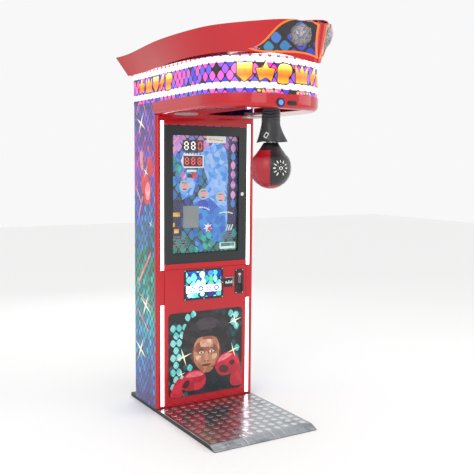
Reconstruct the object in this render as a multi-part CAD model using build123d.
"""Boxing punch machine: cabinet, platform, header with a swinging punch ball, doors and controls.

Millimetres.  X runs to the right seen from the front, the front faces -Y and +Z is up.  The origin is on
the floor, in the middle of the cabinet's width, under the front edges of its side walls.
"""
import math
import os

from build123d import *

# ---------------------------------------------------------------- driving dimensions
CABINET_WIDTH = 700.0
CABINET_DEPTH = 305.0
WALL = 18.0
BACK_WALL = 12.0
DOOR_THICKNESS = 18.0
FRONT_Y = -19.0                 # face of the front frame and of both doors
FRONT_BACK_Y = -1.0             # back of the front frame and of both doors

BASE_WIDTH = 688.0
BASE_BACK_Y = 395.0
BASE_FRONT_Y = -686.0
BASE_TOE_Y = -741.0
BASE_TOP = 24.0
TREAD = 3.0
BOSS_PITCH = 60.5
BOSS_RADIUS = 18.5
BOSS_HEIGHT = 1.6
BOSSES_ACROSS = 11

UNDERSIDE_Z = 1843.0
BAND_BOTTOM_Z = 1917.0
BAND_TOP_Z = 2106.0
BAND_HALF_WIDTH = 355.0
BAND_CORNER = 300.0
HEADER_FRONT_Y = -872.0
SHEET = 4.0

OPENING_HALF = 296.5            # both door openings
LIGHT_OUTER = 321.0
LIGHT_DEPTH = 9.0
LIGHT_GAP = 1.5
LIGHT_RUNS = [(898.5, 1810.0), (40.0, 680.0)]

DOOR_HALF = 295.0
HINGE_X = -286.0
HINGE_Y = -10.0
HINGE_PIN_RADIUS = 3.0
PIN_CLEARANCE = 0.05
WINDOW_DOOR_Z = (934.0, 1787.0)
WINDOW_HALF = 236.0
WINDOW_Z = (993.0, 1731.0)
LOWER_DOOR_Z = (40.0, 897.0)
PIN_BELOW = 12.0                # how far a hinge pin reaches into the frame
PIN_ABOVE = 16.0                # and into the door
PIN_RUNS = [run for low, high in (LOWER_DOOR_Z, WINDOW_DOOR_Z)
            for run in ((low - PIN_BELOW, low + PIN_ABOVE), (high - PIN_ABOVE, high + PIN_BELOW))]
LOCK_X = 260.0
LOCK_Z = 1361.0
PICTURE_HALF = 266.5
PICTURE_Z = (82.0, 620.5)
COUNTER_PLACES = [(-146.0, 1415.0), (-13.0, 1363.0), (112.0, 1342.0)]
COUNTER_RADIUS = 35.0
INFO_X = (-155.0, -48.0)
INFO_Z = (1154.0, 1290.0)

SCREEN_X = (-160.0, 122.0)
SCREEN_Z = (696.0, 890.0)
SCREEN_BORDER = 13.0
LABEL_X = (128.0, 201.0)
LABEL_Z = (760.0, 826.0)
COIN_X = (212.0, 276.0)
COIN_Z = (711.0, 872.0)
COIN_MID_X = (COIN_X[0] + COIN_X[1]) / 2
COIN_SLOT = 2.75                # half the slot's width
COIN_SLOT_Z = (788.0, 818.0)
REJECT_Z = 838.0
FLAP_Z = (728.0, 772.0)
FLAP_AXIS_Y = -16.8

SERVICE_HALF = 240.0
SERVICE_Z = (200.0, 900.0)
SERVICE_GAP = 1.5
SERVICE_HINGE_X = -246.0
SERVICE_HINGE_Y = CABINET_DEPTH + 5
SERVICE_LOCK_X = 215.0
SERVICE_LOCK_Z = 550.0
SHELF_TOP = 920.0
INLET_X = 30.0                  # half the mains inlet's body
INLET_Z = (80.0, 130.0)

PIVOT_Y = -735.0
PIVOT_Z = 1985.0
SHAFT_RADIUS = 12.0
SHAFT_HALF = 149.0
ARM_RADIUS = 17.0
BALL_RADIUS = 112.0
BALL_CENTRE_Z = 1532.0
BALL_NECK_RADIUS = 40.0
BALL_NECK_Z = 1668.0
BOOT_TOP_Z = 1905.0
BOOT_BOTTOM_Z = 1672.0
SLOT_HALF = 135.0
SLOT_FRONT_Y = -835.0
SLOT_BACK_Y = -310.0
LAMP_X = 235.0
LAMP_Y = -190.0
LAMP_RADIUS = 70.0
BULGE = 6.0                     # how far the bumper stands out from the band
BUTTON_FACE_Y = HEADER_FRONT_Y - BULGE
BUTTON_Z = 1872.0
START_X = -40.0
SELECT_X = 34.0
LATCH_Y = PIVOT_Y - 50.0
LATCH_Z = PIVOT_Z - 20.0
STOP_Y = -772.0                 # face that the rest stop's rubber sits on
STOP_Z = (1925.0, 1950.0)

RAIL_INNER_X = 150.0
RAIL = 40.0
RAIL_Z = (1955.0, 2015.0)

# The crown is ruled between a lower and an upper outline, given from the rear corner to the nose.
CROWN_LOWER_Z = 2040.0
CROWN_LOWER = [(-344, 305), (-349, -200), (-343, -520), (-290, -685), (-180, -893), (-75, -1055), (0, -1135)]
CROWN_UPPER_Z = 2260.0
CROWN_UPPER = [(-513, 305), (-477, -200), (-448, -540), (-390, -750), (-255, -935), (-102, -1108), (0, -1185)]
CROWN_WALL = 6.0
CROWN_RIM = [(305, 2206), (-200, 2230), (-570, 2241), (-800, 2250), (-950, 2255), (-1100, 2250), (-1192, 2226)]
CROWN_HEM = [(305, 2100), (-200, 2110), (-600, 2120), (-820, 2120), (-910, 2112), (-1010, 2095), (-1150, 2040)]
LID_SECTION = [(400, 2193), (400, 2197), (-1300, 2250), (-1300, 2246)]

# Windows beside the nose, as points of the crown's face seen square on: along the face, then height.
EYE_TURN = 39.0                 # turn of the window face from straight ahead
EYE_ORIGIN = (-80.0, -1101.0, 2178.0)
EYE_OUTLINE = [(-260, 2133), (-147, 2186), (-96, 2226), (-34, 2247), (36, 2243), (84, 2217),
               (74, 2160), (72, 2078), (14, 2098), (-119, 2112), (-203, 2118)]
EYE_TRIM = 9.0
SPEAKER_RADIUS = 55.0
SPEAKER_RISE = 26.0
SPEAKER_TILT = 14.0             # the window face leans out over its foot

THROUGH = (-60.0, 60.0)         # run of a cutter that goes right through a front
FAR = 500.0                     # run of a cutter that goes right past the object

os.makedirs("parts", exist_ok=True)


# ---------------------------------------------------------------- helpers
def save(name, shape):
    """Write one named sub-part."""
    export_step(shape, f"parts/{name}.step")


def box(x, y, z):
    """A box from three (low, high) pairs."""
    centre = ((x[0] + x[1]) / 2, (y[0] + y[1]) / 2, (z[0] + z[1]) / 2)
    return Pos(*centre) * Box(abs(x[1] - x[0]), abs(y[1] - y[0]), abs(z[1] - z[0]))


def rod_x(radius, x, y, z):
    """A cylinder along X between two x values."""
    return Pos((x[0] + x[1]) / 2, y, z) * Rot(0, 90, 0) * Cylinder(radius, x[1] - x[0])


def rod_y(radius, x, y, z):
    """A cylinder along Y between two y values."""
    return Pos(x, (y[0] + y[1]) / 2, z) * Rot(90, 0, 0) * Cylinder(radius, y[1] - y[0])


def rod_z(radius, x, y, z):
    """A cylinder along Z between two z values."""
    return Pos(x, y, (z[0] + z[1]) / 2) * Cylinder(radius, z[1] - z[0])


def slab(x, y, z, radius):
    """A plate facing the front with rounded corners."""
    outline = RectangleRounded(x[1] - x[0], z[1] - z[0], radius)
    plane = Plane(origin=((x[0] + x[1]) / 2, y[1], (z[0] + z[1]) / 2), x_dir=(1, 0, 0), z_dir=(0, -1, 0))
    return extrude(plane * outline, y[1] - y[0])


def profile_x(points, half):
    """A side outline of (y, z) points, extruded evenly to both sides of the middle plane."""
    plane = Plane(origin=(-half, 0, 0), x_dir=(0, 1, 0), z_dir=(1, 0, 0))
    return extrude(plane * make_face(Polyline(*points, close=True)), 2 * half)


def mirrored(shape):
    """The same shape on the other side of the middle plane."""
    return mirror(shape, about=Plane.YZ)


def pair(shape):
    """A shape and its mirror image, as separate solids of one node."""
    return Compound(list(shape.solids()) + list(mirrored(shape).solids()))


# ---------------------------------------------------------------- platform
def base_board():
    toe = 3.0
    outline = [(BASE_BACK_Y, 0), (BASE_BACK_Y, BASE_TOP), (BASE_FRONT_Y, BASE_TOP), (BASE_TOE_Y, toe),
               (BASE_TOE_Y, 0)]
    return profile_x(outline, BASE_WIDTH / 2)


def tread_plate():
    back_y = -24.0
    low = 4.0
    lip = BASE_TOE_Y - TREAD
    top = BASE_TOP + TREAD
    outline = [(back_y, BASE_TOP), (back_y, top), (BASE_FRONT_Y - 1, top), (lip, low + 2), (lip, low),
               (BASE_TOE_Y, low), (BASE_FRONT_Y, BASE_TOP)]
    plate = profile_x(outline, BASE_WIDTH / 2)
    bosses = []
    for column in range(BOSSES_ACROSS):
        x = (column - (BOSSES_ACROSS - 1) / 2) * BOSS_PITCH
        for row in range(BOSSES_ACROSS):
            y = BASE_FRONT_Y + 32.0 + row * BOSS_PITCH
            bosses.append(rod_z(BOSS_RADIUS, x, y, (top - 1, top + BOSS_HEIGHT)))
        toe = Pos(x, BASE_FRONT_Y - 30, top - 11) * Rot(20.5, 0, 0) * Cylinder(BOSS_RADIUS, 2 * BOSS_HEIGHT)
        bosses.append(toe)
    return plate + bosses


# ---------------------------------------------------------------- cabinet
def side_panel():
    outer = -CABINET_WIDTH / 2
    return box((outer, outer + WALL), (0, CABINET_DEPTH), (BASE_TOP, BAND_TOP_Z - 46))


def rear_panel():
    half = CABINET_WIDTH / 2 - WALL
    wall = box((-half, half), (CABINET_DEPTH - BACK_WALL, CABINET_DEPTH), (BASE_TOP, BAND_TOP_Z - 8))
    through = (CABINET_DEPTH - FAR, CABINET_DEPTH + FAR)
    opening = SERVICE_HALF + SERVICE_GAP
    wall -= box((-opening, opening), through, (SERVICE_Z[0] - SERVICE_GAP, SERVICE_Z[1] + SERVICE_GAP))
    vent_half, vent_low, vent_pitch, vent_height = 90.0, 1500.0, 26.0, 10.0
    for row in range(6):
        low = vent_low + row * vent_pitch
        wall -= slab((-vent_half, vent_half), through, (low, low + vent_height), vent_height / 2 - 0.1)
    fit = 0.3
    return wall - box((-INLET_X - fit, INLET_X + fit), through, (INLET_Z[0] - fit, INLET_Z[1] + fit))


def service_door():
    knuckle = (SERVICE_Z[0] + 20, SERVICE_Z[1] - 20)
    door = box((-SERVICE_HALF, SERVICE_HALF), (CABINET_DEPTH - BACK_WALL, CABINET_DEPTH), SERVICE_Z)
    door += rod_z(4, SERVICE_HINGE_X, SERVICE_HINGE_Y, knuckle)
    door += box((SERVICE_HINGE_X, SERVICE_HINGE_X + 31), (CABINET_DEPTH, CABINET_DEPTH + 2), knuckle)
    door -= rod_y(9, SERVICE_LOCK_X, (CABINET_DEPTH - FAR, CABINET_DEPTH + FAR), SERVICE_LOCK_Z)
    bore = 2 + PIN_CLEARANCE
    return door - rod_z(bore, SERVICE_HINGE_X, SERVICE_HINGE_Y, (knuckle[0] - 1, knuckle[1] + 1))


def service_hinge():
    """The fixed leaves at the door's top and bottom, and the pin they hold."""
    height = 28.0
    runs = [(SERVICE_Z[0] + 19 - height, SERVICE_Z[0] + 19), (SERVICE_Z[1] - 19, SERVICE_Z[1] - 19 + height)]
    leaf_x = (SERVICE_HINGE_X - 29, SERVICE_HINGE_X)
    knuckles = [box(leaf_x, (CABINET_DEPTH, CABINET_DEPTH + 2), run) for run in runs]
    knuckles += [rod_z(4, SERVICE_HINGE_X, SERVICE_HINGE_Y, run) for run in runs]
    pin = rod_z(2, SERVICE_HINGE_X, SERVICE_HINGE_Y, (runs[0][0], runs[1][1]))
    return pin + knuckles


def service_lock():
    x, z = SERVICE_LOCK_X, SERVICE_LOCK_Z
    inner = CABINET_DEPTH - BACK_WALL - 10
    barrel = rod_y(8.95, x, (inner, CABINET_DEPTH), z)
    face = rod_y(12, x, (CABINET_DEPTH, CABINET_DEPTH + 3), z)
    cam = box((x - 6, x + 6), (inner, inner + 3), (z - 45, z))
    return barrel + face + cam


def equipment_shelf():
    half = CABINET_WIDTH / 2 - WALL
    return box((-half, half), (30, CABINET_DEPTH - BACK_WALL), (SHELF_TOP - 15, SHELF_TOP))


def front_frame():
    half = CABINET_WIDTH / 2
    frame = box((-half, half), (FRONT_Y, 0), (28, UNDERSIDE_Z))
    corners = frame.edges().filter_by(Axis.Z).sort_by(Axis.Y)[:2]
    frame = fillet(corners, 17)
    for low, high in (WINDOW_DOOR_Z, LOWER_DOOR_Z):
        frame -= box((-OPENING_HALF, OPENING_HALF), THROUGH, (low - 2, high + 2))
    for z in LIGHT_RUNS:
        for side in (-1, 1):
            channel = (side * OPENING_HALF, side * LIGHT_OUTER)
            frame -= box(channel, (FRONT_Y - 5, FRONT_Y + LIGHT_DEPTH), z)
    for z in PIN_RUNS:
        frame -= rod_z(HINGE_PIN_RADIUS, HINGE_X, HINGE_Y, z)
    return frame


def light_strip(z):
    inner = OPENING_HALF + LIGHT_GAP
    strip = box((inner, LIGHT_OUTER), (FRONT_Y, FRONT_Y + LIGHT_DEPTH), z)
    return fillet(strip.edges().filter_by(Axis.Z).sort_by(Axis.Y)[:2], 4)


def hinge_pins():
    return Compound([rod_z(HINGE_PIN_RADIUS, HINGE_X, HINGE_Y, z) for z in PIN_RUNS])


def door_blank(z):
    """A door leaf with its hinge edge rounded about the pins."""
    edge = DOOR_THICKNESS / 2
    leaf = box((HINGE_X, DOOR_HALF), (FRONT_Y, FRONT_BACK_Y), z)
    leaf += rod_z(edge, HINGE_X, FRONT_Y + edge, z)
    for pin in PIN_RUNS:
        leaf -= rod_z(HINGE_PIN_RADIUS + PIN_CLEARANCE, HINGE_X, HINGE_Y, (pin[0] - 0.3, pin[1] + 0.3))
    return leaf


# ---------------------------------------------------------------- window door
def window_frame():
    frame = door_blank(WINDOW_DOOR_Z)
    frame -= slab((-WINDOW_HALF, WINDOW_HALF), THROUGH, WINDOW_Z, 12)
    rebate = 12.0
    frame -= box((-WINDOW_HALF - rebate, WINDOW_HALF + rebate), (FRONT_BACK_Y - 5, 60),
                 (WINDOW_Z[0] - rebate, WINDOW_Z[1] + rebate))
    return frame - rod_y(9, LOCK_X, THROUGH, LOCK_Z)


def window_glass():
    edge = 11.5
    return box((-WINDOW_HALF - edge, WINDOW_HALF + edge), (FRONT_BACK_Y - 5, FRONT_BACK_Y - 1),
               (WINDOW_Z[0] - edge, WINDOW_Z[1] + edge))


def cam_lock(x, z, face_y, back_y):
    """A quarter-turn lock: round face, barrel and a cam that hangs down when it is open."""
    face = rod_y(12, x, (face_y - 3, face_y), z)
    barrel = rod_y(8.95, x, (face_y, back_y + 5), z)
    cam = box((x - 7, x + 7), (back_y + 2, back_y + 5), (z - 50, z))
    return face + barrel + cam


def artwork_panel():
    half = CABINET_WIDTH / 2 - WALL
    return box((-half, half), (7, 12), (935, 1800))


def digit_block(x, z, count, digit):
    """A row of digit modules on one board, set on the face of the artwork panel."""
    blocks = [box((x[0], x[1]), (4, 7), z)]
    pitch = (x[1] - x[0]) / count
    for index in range(count):
        middle = x[0] + (index + 0.5) * pitch
        blocks.append(box((middle - digit / 2, middle + digit / 2), (2.5, 4), (z[0] + 4, z[1] - 4)))
    return blocks[0] + blocks[1:]


def score_displays():
    """The two score displays, three digits each."""
    upper = digit_block((-158, -14), (1628, 1700), 3, 38)
    lower = digit_block((-152, -20), (1536, 1602), 3, 34)
    return Compound([upper, lower])


def round_counters():
    return Compound([rod_y(COUNTER_RADIUS, x, (3, 7), z) for x, z in COUNTER_PLACES])


def info_box():
    shell = slab(INFO_X, (0.5, 7), INFO_Z, 4)
    return shell - slab((INFO_X[0] + 37, INFO_X[1] - 24), (-5, 3), (INFO_Z[0] + 36, INFO_Z[1] - 35), 2)


# ---------------------------------------------------------------- lower door
def lower_door():
    leaf = door_blank(LOWER_DOOR_Z)
    inset = SCREEN_BORDER
    screen = (SCREEN_Z[0] + inset, SCREEN_Z[1] - inset)
    leaf -= box((SCREEN_X[0] + inset, SCREEN_X[1] - inset), THROUGH, screen)
    return leaf - box((COIN_X[0] + 6, COIN_X[1] - 6), THROUGH, (COIN_Z[0] + 12, COIN_Z[1] - 12))


def picture_panel():
    return slab((-PICTURE_HALF, PICTURE_HALF), (FRONT_Y - 4, FRONT_Y), PICTURE_Z, 26)


def screen_bezel():
    plate = slab(SCREEN_X, (FRONT_Y - 3, FRONT_Y), SCREEN_Z, 3)
    inset = SCREEN_BORDER
    window = slab((SCREEN_X[0] + inset, SCREEN_X[1] - inset), THROUGH,
                  (SCREEN_Z[0] + inset, SCREEN_Z[1] - inset), 2)
    return plate - window


def screen_panel():
    inset = SCREEN_BORDER + 0.5
    return box((SCREEN_X[0] + inset, SCREEN_X[1] - inset), (FRONT_Y, FRONT_BACK_Y + 12),
               (SCREEN_Z[0] + inset, SCREEN_Z[1] - inset))


def panel_screws():
    inset = 6.0
    xs = (SCREEN_X[0] + inset, (SCREEN_X[0] + SCREEN_X[1]) / 2, SCREEN_X[1] - inset)
    zs = (SCREEN_Z[0] + inset, (SCREEN_Z[0] + SCREEN_Z[1]) / 2, SCREEN_Z[1] - inset)
    places = [(x, z, FRONT_Y - 3) for x in xs for z in zs if not (x == xs[1] and z == zs[1])]
    coin_xs = (COIN_X[0] + 7, COIN_X[1] - 7)
    coin_zs = (COIN_Z[0] + 6, COIN_Z[1] - 6)
    places += [(x, z, FRONT_Y - 4) for x in coin_xs for z in coin_zs]
    head = Rot(90, 0, 0) * Cone(4, 2.6, 1.8, align=(Align.CENTER, Align.CENTER, Align.MIN))
    return Compound([Pos(x, face, z) * head for x, z, face in places])


def label_plate():
    return slab(LABEL_X, (FRONT_Y - 2, FRONT_Y), LABEL_Z, 4)


def coin_plate():
    plate = slab(COIN_X, (FRONT_Y - 4, FRONT_Y), COIN_Z, 3)
    plate -= rod_y(9.3, COIN_MID_X, THROUGH, REJECT_Z)
    plate -= box((COIN_MID_X - COIN_SLOT, COIN_MID_X + COIN_SLOT), THROUGH, COIN_SLOT_Z)
    return plate - box((COIN_MID_X - 17, COIN_MID_X + 17), THROUGH, (FLAP_Z[0] - 1, FLAP_Z[1] + 1))


def coin_reject_button():
    cap = rod_y(9, COIN_MID_X, (FRONT_Y - 8, FRONT_Y + 4), REJECT_Z)
    return chamfer(cap.edges().sort_by(Axis.Y)[:1], 1)


def coin_return_flap():
    """A flap that hangs from its bar behind the plate and is pushed inwards."""
    span = (COIN_MID_X - 19, COIN_MID_X + 19)
    bar = rod_x(1.8, span, FLAP_AXIS_Y, FLAP_Z[1] - 3)
    return bar + box(span, (FLAP_AXIS_Y - 1, FLAP_AXIS_Y + 1), (FLAP_Z[0] - 3, FLAP_Z[1] - 3))


def coin_mechanism():
    """The coin selector behind the plate, with the slot's channel and a chute below."""
    x = (COIN_X[0] + 8, COIN_X[1] - 8)
    back_y = 66.0
    body = box(x, (FRONT_Y + 8, back_y), (COIN_Z[0] + 66, COIN_Z[1] - 20))
    channel = (COIN_SLOT_Z[0] - 2, COIN_SLOT_Z[1] + 2)
    body -= box((COIN_MID_X - COIN_SLOT, COIN_MID_X + COIN_SLOT), (THROUGH[0], 40), channel)
    return body + box(x, (30, back_y), (COIN_Z[0] + 20, COIN_Z[0] + 66))


def coin_box():
    """An open-topped cash box on the cabinet's floor."""
    x, y, top, wall = (150, 300), (80, 260), 190, 4
    outer = box(x, y, (BASE_TOP, top))
    return outer - box((x[0] + wall, x[1] - wall), (y[0] + wall, y[1] - wall), (BASE_TOP + wall, top + 50))


# ---------------------------------------------------------------- header
def header_outline(grow):
    """The header's plan, from the cabinet's front round the corners, grown outwards by a margin."""
    half = BAND_HALF_WIDTH + grow
    front = HEADER_FRONT_Y - grow
    corner = BAND_CORNER + grow
    flat = half - corner
    turn = front + corner
    diagonal = corner / math.sqrt(2)
    back = CABINET_DEPTH
    lines = Line((-half, back), (-half, turn))
    lines += ThreePointArc((-half, turn), (-flat - diagonal, turn - diagonal), (-flat, front))
    lines += Line((-flat, front), (flat, front))
    lines += ThreePointArc((flat, front), (flat + diagonal, turn - diagonal), (half, turn))
    lines += Line((half, turn), (half, back))
    lines += Line((half, back), (-half, back))
    return make_face(lines)


def header_block(grow, z):
    """The header's plan between two heights."""
    return Pos(0, 0, z[0]) * extrude(header_outline(grow), z[1] - z[0])


def low_rim(block):
    """The bottom edges of a header block, without the straight one at the back."""
    bottom = block.edges().group_by(Axis.Z)[0]
    return bottom.filter_by(lambda edge: edge.center().Y < CABINET_DEPTH - 5)


def header_tray():
    """The lower shell: a rounded bumper wall and the underside with the ball's slot."""
    outer = header_block(BULGE, (UNDERSIDE_Z, BAND_BOTTOM_Z))
    outer = fillet(low_rim(outer), 32)
    inner = header_block(BULGE - SHEET, (UNDERSIDE_Z + SHEET, BAND_BOTTOM_Z + 1))
    tray = outer - fillet(low_rim(inner), 28)
    floor = (UNDERSIDE_Z - 20, UNDERSIDE_Z + 20)
    tray -= box((-FAR, FAR), (0, FAR), (UNDERSIDE_Z - 20, BAND_BOTTOM_Z + 20))
    tray -= box((-SLOT_HALF, SLOT_HALF), (SLOT_FRONT_Y, SLOT_BACK_Y), floor)
    tray -= rod_z(SLOT_HALF, 0, SLOT_BACK_Y, floor)
    for side in (-1, 1):
        tray -= rod_z(LAMP_RADIUS - 6, side * LAMP_X, LAMP_Y, floor)
    wall = (BUTTON_FACE_Y - 20, BUTTON_FACE_Y + 60)
    tray -= rod_y(17, START_X, wall, BUTTON_Z)
    return tray - slab((SELECT_X - 21, SELECT_X + 21), wall, (BUTTON_Z - 6, BUTTON_Z + 6), 5.9)


def downlight():
    puck = rod_z(LAMP_RADIUS, LAMP_X, LAMP_Y, (UNDERSIDE_Z - 4, UNDERSIDE_Z))
    puck += rod_z(LAMP_RADIUS - 6.5, LAMP_X, LAMP_Y, (UNDERSIDE_Z, UNDERSIDE_Z + 24))
    return puck


def button_bezels():
    ring = rod_y(24, START_X, (BUTTON_FACE_Y - 5, BUTTON_FACE_Y), BUTTON_Z)
    ring += rod_y(16.7, START_X, (BUTTON_FACE_Y - 5, BUTTON_FACE_Y + 14), BUTTON_Z)
    ring -= rod_y(14.3, START_X, (BUTTON_FACE_Y - 20, BUTTON_FACE_Y + 30), BUTTON_Z)
    face = (BUTTON_FACE_Y - 4, BUTTON_FACE_Y)
    plate = slab((SELECT_X - 28, SELECT_X + 28), face, (BUTTON_Z - 12, BUTTON_Z + 12), 11)
    wall = (BUTTON_FACE_Y - 20, BUTTON_FACE_Y + 60)
    plate -= slab((SELECT_X - 20.3, SELECT_X + 20.3), wall, (BUTTON_Z - 5.3, BUTTON_Z + 5.3), 5.2)
    return Compound([ring, plate])


def start_button():
    cap = rod_y(14, START_X, (BUTTON_FACE_Y - 9, BUTTON_FACE_Y + 12), BUTTON_Z)
    return fillet(cap.edges().sort_by(Axis.Y)[:1], 3)


def select_button():
    y = (BUTTON_FACE_Y - 6, BUTTON_FACE_Y + 10)
    return slab((SELECT_X - 20, SELECT_X + 20), y, (BUTTON_Z - 5, BUTTON_Z + 5), 4.9)


def marquee_band():
    band = header_block(0, (BAND_BOTTOM_Z, BAND_TOP_Z))
    band -= header_block(-SHEET, (BAND_BOTTOM_Z - 1, BAND_TOP_Z + 1))
    past = (BAND_BOTTOM_Z - 20, BAND_TOP_Z + 20)
    return band - box((-FAR, FAR), (CABINET_DEPTH - CROWN_WALL - 1, CABINET_DEPTH + 10), past)


def marquee_lights():
    """Two light strips that follow the inside of the band."""
    strips = []
    for z in (1944.0, 2062.0):
        ring = header_block(-SHEET - 0.5, (z, z + 14)) - header_block(-SHEET - 5.5, (z - 1, z + 15))
        strips.append(ring - box((-FAR, FAR), (-2, FAR), (z - 5, z + 20)))
    return Compound(strips)


def header_frame():
    """Two rails with cross members, and the tongue in front of the arm that carries the rest stop."""
    z = RAIL_Z
    outer = RAIL_INNER_X + RAIL
    inside = CABINET_WIDTH / 2 - WALL
    front = -805.0
    high = (z[1] - 25, z[1])
    frame = box((RAIL_INNER_X, outer), (front, CABINET_DEPTH - BACK_WALL), z)
    frame += box((-outer, -RAIL_INNER_X), (front, CABINET_DEPTH - BACK_WALL), z)
    frame += box((-outer, outer), (front - 17, front + 5), high)
    frame += box((-outer, outer), (-120, -80), z)
    for y in ((24, 64), (230, 270)):
        frame += box((-inside, inside), y, z)
    tongue = (-20, 20)
    frame += box(tongue, (STOP_Y - 18, STOP_Y), (STOP_Z[0] - 3, z[1]))
    return frame + box(tongue, (front, STOP_Y - 13), high)


def bearing_block():
    inner = RAIL_INNER_X - 24.0
    block = box((inner, RAIL_INNER_X), (PIVOT_Y - 32, PIVOT_Y + 32), (PIVOT_Z - 28, PIVOT_Z + 28))
    block -= rod_x(SHAFT_RADIUS + PIN_CLEARANCE, (inner - 5, RAIL_INNER_X + 5), PIVOT_Y, PIVOT_Z)
    return block


def stop_buffer():
    return box((-16, 16), (STOP_Y, STOP_Y + 10), STOP_Z)


# ---------------------------------------------------------------- punch arm
def pivot_shaft():
    return rod_x(SHAFT_RADIUS, (-SHAFT_HALF, SHAFT_HALF), PIVOT_Y, PIVOT_Z)


def arm_hub():
    hub = rod_x(27, (-34, 34), PIVOT_Y, PIVOT_Z)
    hub += box((-22, 22), (PIVOT_Y - 22, PIVOT_Y + 22), (PIVOT_Z - 48, PIVOT_Z))
    hub += box((-34, -22), (PIVOT_Y - 12, PIVOT_Y + 12), (PIVOT_Z, PIVOT_Z + 62))
    hub -= rod_z(ARM_RADIUS, 0, PIVOT_Y, (PIVOT_Z - 60, PIVOT_Z - 16))
    return hub - rod_x(SHAFT_RADIUS, (-50, 50), PIVOT_Y, PIVOT_Z)


def arm_tube():
    tube = rod_z(ARM_RADIUS, 0, PIVOT_Y, (BALL_NECK_Z, PIVOT_Z - 16))
    return tube - rod_z(ARM_RADIUS - 3, 0, PIVOT_Y, (BALL_NECK_Z + 6, PIVOT_Z))


def punch_ball():
    """A pear-shaped ball: a sphere drawn up into a neck."""
    top = BALL_CENTRE_Z + 66.0
    joint = math.sqrt(BALL_RADIUS ** 2 - (top - BALL_CENTRE_Z) ** 2)
    plane = Plane(origin=(0, PIVOT_Y, 0), x_dir=(1, 0, 0), z_dir=(0, -1, 0))
    side = Line((0, BALL_CENTRE_Z - BALL_RADIUS), (0, BALL_NECK_Z))
    side += Line((0, BALL_NECK_Z), (BALL_NECK_RADIUS, BALL_NECK_Z))
    side += Line((BALL_NECK_RADIUS, BALL_NECK_Z), (joint, top))
    side += ThreePointArc((joint, top), (BALL_RADIUS, BALL_CENTRE_Z), (0, BALL_CENTRE_Z - BALL_RADIUS))
    return revolve(plane * make_face(side), Axis((0, PIVOT_Y, 0), (0, 0, 1)), 360)


def boot_sleeve():
    """The leather boot that hides the arm between the header and the ball."""
    plane = Plane(origin=(0, PIVOT_Y, 0), x_dir=(1, 0, 0), z_dir=(0, -1, 0))
    bore = ARM_RADIUS + 1.0
    outline = [(bore, BOOT_TOP_Z), (48, BOOT_TOP_Z), (48, 1760), (53, 1710), (63, BOOT_BOTTOM_Z),
               (bore, BOOT_BOTTOM_Z)]
    return revolve(plane * make_face(Polyline(*outline, close=True)), Axis((0, PIVOT_Y, 0), (0, 0, 1)), 360)


def arm_collar():
    """A clamp ring that holds the ball's neck on the tube, just under the boot."""
    ring = rod_z(26, 0, PIVOT_Y, (BALL_NECK_Z, BALL_NECK_Z + 3.5))
    return ring - rod_z(ARM_RADIUS, 0, PIVOT_Y, (BALL_NECK_Z - 1, BALL_NECK_Z + 5))


def encoder_disc():
    disc = rod_x(38, (88, 90), PIVOT_Y, PIVOT_Z) - rod_x(SHAFT_RADIUS, (80, 100), PIVOT_Y, PIVOT_Z)
    for index in range(12):
        angle = math.radians(index * 30)
        y = PIVOT_Y + 31 * math.cos(angle)
        z = PIVOT_Z + 31 * math.sin(angle)
        disc -= rod_x(3, (80, 100), y, z)
    return disc


def encoder_sensor():
    fork = box((82, 96), (PIVOT_Y - 10, PIVOT_Y + 10), (PIVOT_Z + 27, PIVOT_Z + 50))
    fork -= box((86.5, 91.5), (PIVOT_Y - 20, PIVOT_Y + 20), (PIVOT_Z + 20, PIVOT_Z + 41))
    bracket = box((96, RAIL_INNER_X), (PIVOT_Y - 10, PIVOT_Y + 10), (PIVOT_Z + 44, PIVOT_Z + 50))
    leg = box((RAIL_INNER_X, RAIL_INNER_X + 20), (PIVOT_Y - 10, PIVOT_Y + 10), (RAIL_Z[1], PIVOT_Z + 50))
    return fork + bracket + leg


def latch_solenoid():
    body = box((-130, -92), (LATCH_Y - 16, LATCH_Y + 16), (LATCH_Z - 16, LATCH_Z + 16))
    body -= rod_x(5.2, (-140, -80), LATCH_Y, LATCH_Z)
    return body + box((-RAIL_INNER_X, -130), (LATCH_Y - 12, LATCH_Y + 12), (LATCH_Z + 2, LATCH_Z + 10))


def latch_plunger():
    return rod_x(5, (-126, -42), LATCH_Y, LATCH_Z)


# ---------------------------------------------------------------- crown
def inset_outline(points, inset):
    """Half an outline moved inwards, square to its run at each point."""
    moved = []
    for index, point in enumerate(points):
        before = points[max(index - 1, 0)]
        after = points[min(index + 1, len(points) - 1)]
        if index == len(points) - 1:
            after = (-before[0], before[1])
        run = (after[0] - before[0], after[1] - before[1])
        length = math.hypot(*run)
        side = (-run[1] / length, run[0] / length)
        back = inset if index == 0 else 0
        moved.append((point[0] + side[0] * inset, point[1] + side[1] * inset * (index > 0) - back))
    return moved


def crown_wire(points, z):
    """A closed plan outline: a smooth bow from rear corner to rear corner and a straight back."""
    bow = points + [(-x, y) for x, y in reversed(points[:-1])]
    curve = Spline(*[(x, y, z) for x, y in bow])
    return Wire([curve.edge(), Line(curve @ 1, curve @ 0).edge()])


def crown_solid(inset):
    """The crown's outer form, moved inwards by an inset and not yet trimmed at hem and rim."""
    lower = crown_wire(inset_outline(CROWN_LOWER, inset), CROWN_LOWER_Z)
    upper = crown_wire(inset_outline(CROWN_UPPER, inset), CROWN_UPPER_Z)
    return Solid.make_loft([lower, upper], ruled=True)


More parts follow.
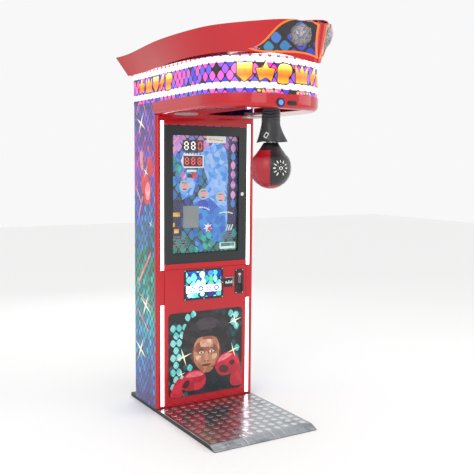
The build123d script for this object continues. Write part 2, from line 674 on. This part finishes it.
def crown_trim(lift):
    """The side view between hem and rim, as a block to keep; the lift shortens it at the rim."""
    half = 700.0
    plane = Plane(origin=(-half, 0, 0), x_dir=(0, 1, 0), z_dir=(1, 0, 0))
    rear, nose = CABINET_DEPTH + 60, -1260.0
    rim = [(rear, CROWN_RIM[0][1]), *CROWN_RIM, (nose, CROWN_RIM[-1][1] - 20)]
    rim = [(y, z - lift) for y, z in rim]
    hem = [(rear, CROWN_HEM[0][1]), *CROWN_HEM, (nose, CROWN_HEM[-1][1] - 20)]
    outline = Spline(*rim) + Line(rim[-1], hem[-1]) + Spline(*reversed(hem)) + Line(hem[0], rim[0])
    return extrude(plane * make_face(outline), 2 * half)


def grown(points, amount):
    """A closed outline, given clockwise, moved outwards at each point."""
    moved = []
    for index, point in enumerate(points):
        before = points[index - 1]
        after = points[(index + 1) % len(points)]
        first = math.hypot(point[0] - before[0], point[1] - before[1])
        second = math.hypot(after[0] - point[0], after[1] - point[1])
        run = ((point[0] - before[0]) / first + (after[0] - point[0]) / second,
               (point[1] - before[1]) / first + (after[1] - point[1]) / second)
        length = math.hypot(*run)
        reach = min(2 * amount / length, 2.2 * amount)
        moved.append((point[0] - run[1] / length * reach, point[1] + run[0] / length * reach))
    return moved


def eye_plane():
    turn = math.radians(EYE_TURN)
    normal = (-math.cos(turn), -math.sin(turn), 0)
    return Plane(origin=EYE_ORIGIN, x_dir=(math.sin(turn), -math.cos(turn), 0), z_dir=normal)


def speaker_place():
    """Middle of the speaker on the window's face, looking out along the tilted face."""
    return eye_plane().location * Rot(SPEAKER_TILT, 0, 0)


def eye_prism(grow):
    """A prism through the left face of the crown with the window's outline."""
    points = grown([(along, height - EYE_ORIGIN[2]) for along, height in EYE_OUTLINE], grow)
    face = make_face(Spline(*points[:6]) + Spline(*points[5:8]) + Spline(*points[7:], points[0]))
    return extrude(eye_plane().offset(-90) * face, 180)


def crown_parts():
    """Crown shell, eye panel, eye trim and lid, all cut from the same form."""
    outer = crown_solid(0)
    shell = (outer - crown_solid(CROWN_WALL)) & crown_trim(0)
    hole = eye_prism(0)
    speaker_hole = speaker_place() * Cylinder(SPEAKER_RADIUS + 0.5, 80)
    left_panel = ((crown_solid(1.5) - crown_solid(CROWN_WALL - 0.5)) & hole) & crown_trim(3)
    left_panel -= speaker_hole
    trim = (crown_solid(-3) - outer) & (eye_prism(EYE_TRIM) - hole) & crown_trim(1)
    shell = shell - hole - mirrored(hole) + crown_flange()
    lid = crown_solid(CROWN_WALL + 0.5) & profile_x(LID_SECTION, 700)
    return shell, left_panel, trim, lid


def crown_flange():
    """The inward flange of the crown that rests on the band's top."""
    z = (BAND_TOP_Z, BAND_TOP_Z + 3)
    plate = crown_solid(CROWN_WALL - 0.4) & box((-700, 700), (-1400, CABINET_DEPTH - 14), z)
    return plate - header_block(-25, (z[0] - 5, z[1] + 5))


def speaker_dome():
    """A thin mesh dome over the speaker."""
    ball = (SPEAKER_RADIUS ** 2 + SPEAKER_RISE ** 2) / (2 * SPEAKER_RISE)
    drop = ball - SPEAKER_RISE
    wall = 1.6
    dome = Pos(0, 0, -drop) * (Sphere(ball) - Sphere(ball - wall))
    keep = Pos(0, 0, 50) * Box(300, 300, 100)
    ring = Pos(0, 0, -2) * (Cylinder(SPEAKER_RADIUS, 4) - Cylinder(SPEAKER_RADIUS - wall, 5))
    return (dome & keep) + ring


def speaker_driver():
    depth = 46.0
    cone = Cone(46, 24, depth, rotation=(180, 0, 0), align=(Align.CENTER, Align.CENTER, Align.MIN))
    magnet = Pos(0, 0, -depth - 9) * Cylinder(30, 18)
    return cone + magnet


# ---------------------------------------------------------------- electrics
def power_supply():
    return box((-300, -100), (120, 230), (SHELF_TOP, SHELF_TOP + 55))


def control_board():
    """The game's circuit board, with three large parts, on four posts from the rear panel."""
    x, z = (40, 300), (950, 1150)
    wall = CABINET_DEPTH - BACK_WALL
    posts, parts = (wall - 10, wall), (wall - 24, wall - 12)
    board = box(x, (parts[1], posts[0]), z)
    for part_x, part_z in ((70, 1000), (150, 1080), (230, 990)):
        board += box((part_x, part_x + 50), parts, (part_z, part_z + 40))
    for post_x in (x[0] + 10, x[1] - 10):
        for post_z in (z[0] + 10, z[1] - 10):
            board += rod_y(4, post_x, posts, post_z)
    return board


def mains_inlet():
    body = box((-INLET_X, INLET_X), (CABINET_DEPTH - BACK_WALL - 25, CABINET_DEPTH), INLET_Z)
    edge = 6.0
    flange = slab((-INLET_X - edge, INLET_X + edge), (CABINET_DEPTH, CABINET_DEPTH + 2.5),
                  (INLET_Z[0] - edge, INLET_Z[1] + edge), 4)
    inlet = slab((-13, 13), (CABINET_DEPTH - 14, CABINET_DEPTH + 10), (92, 112), 3)
    return body + flange - inlet


# ---------------------------------------------------------------- write every sub-part
save("base_board", base_board())
save("tread_plate", tread_plate())
save("side_panel_left", side_panel())
save("side_panel_right", mirrored(side_panel()))
save("rear_panel", rear_panel())
save("service_door", service_door())
save("service_hinge", service_hinge())
save("service_lock", service_lock())
save("equipment_shelf", equipment_shelf())
save("front_frame", front_frame())
for level, run in zip(("upper", "lower"), LIGHT_RUNS):
    save(f"light_strips_{level}", pair(light_strip(run)))
save("hinge_pins", hinge_pins())
save("window_frame", window_frame())
save("window_glass", window_glass())
save("window_lock", cam_lock(LOCK_X, LOCK_Z, FRONT_Y, FRONT_BACK_Y))
save("artwork_panel", artwork_panel())
save("score_displays", score_displays())
save("round_counters", round_counters())
save("info_box", info_box())
save("lower_door", lower_door())
save("picture_panel", picture_panel())
save("screen_bezel", screen_bezel())
save("screen_panel", screen_panel())
save("panel_screws", panel_screws())
save("label_plate", label_plate())
save("coin_plate", coin_plate())
save("coin_reject_button", coin_reject_button())
save("coin_return_flap", coin_return_flap())
save("coin_mechanism", coin_mechanism())
save("coin_box", coin_box())
save("header_tray", header_tray())
save("downlights", pair(downlight()))
save("button_bezels", button_bezels())
save("start_button", start_button())
save("select_button", select_button())
save("marquee_band", marquee_band())
save("marquee_lights", marquee_lights())
save("header_frame", header_frame())
save("bearing_blocks", pair(bearing_block()))
save("stop_buffer", stop_buffer())
save("pivot_shaft", pivot_shaft())
save("arm_hub", arm_hub())
save("arm_tube", arm_tube())
save("arm_collar", arm_collar())
save("punch_ball", punch_ball())
save("boot_sleeve", boot_sleeve())
save("encoder_disc", encoder_disc())
save("encoder_sensor", encoder_sensor())
save("latch_solenoid", latch_solenoid())
save("latch_plunger", latch_plunger())

crown_shell, eye_panel, eye_trim, crown_lid = crown_parts()
speaker = speaker_place()
save("crown_shell", crown_shell)
save("crown_lid", crown_lid)
save("eye_panels", pair(eye_panel))
save("eye_trims", pair(eye_trim))
save("speaker_domes", pair(speaker * speaker_dome()))
save("speaker_drivers", pair(speaker * Pos(0, 0, -8) * speaker_driver()))
save("power_supply", power_supply())
save("control_board", control_board())
save("mains_inlet", mains_inlet())
